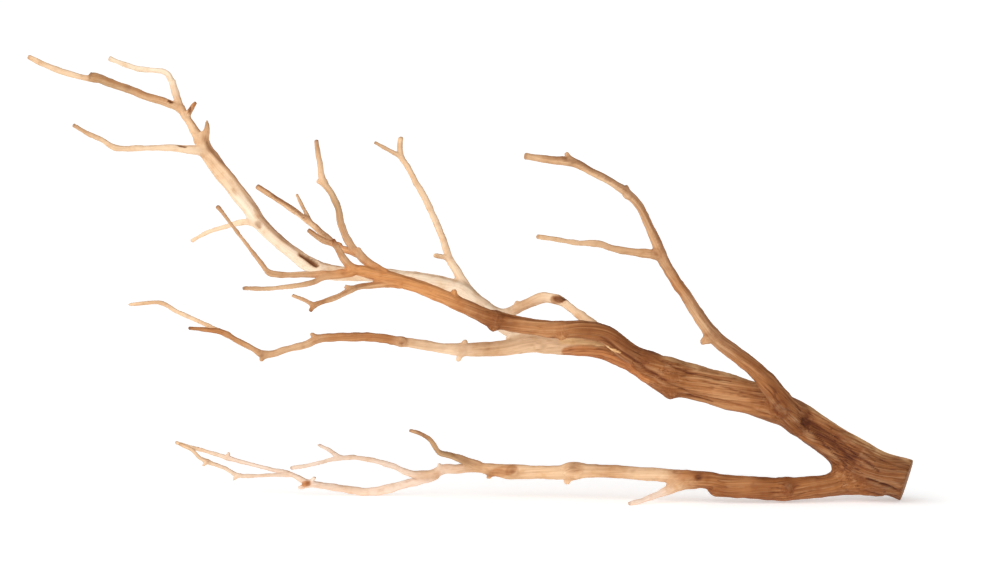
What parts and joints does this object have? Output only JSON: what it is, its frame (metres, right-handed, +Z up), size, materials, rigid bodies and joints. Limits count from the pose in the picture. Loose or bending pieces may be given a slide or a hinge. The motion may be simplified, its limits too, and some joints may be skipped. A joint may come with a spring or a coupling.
{
  "type": "driftwood branch",
  "caption": "Bark-free driftwood branch with a sawn butt and long forked twigs, lying on a flat surface as a decoration or an aquarium piece.",
  "frame": {"origin": "middle of the underside of the branch's box, on the surface that it lies on", "axes": "+X along the branch towards its sawn end, +Y across it towards the rear limb, +Z up from the surface"},
  "size_m": [0.7196, 0.2216, 0.3551],
  "materials": {
    "bare_wood": "matte, sand-worn, without bark"
  },
  "bodies": {
    "root": {"driftwood_branch": "bare_wood"}
  },
  "joints": []
}
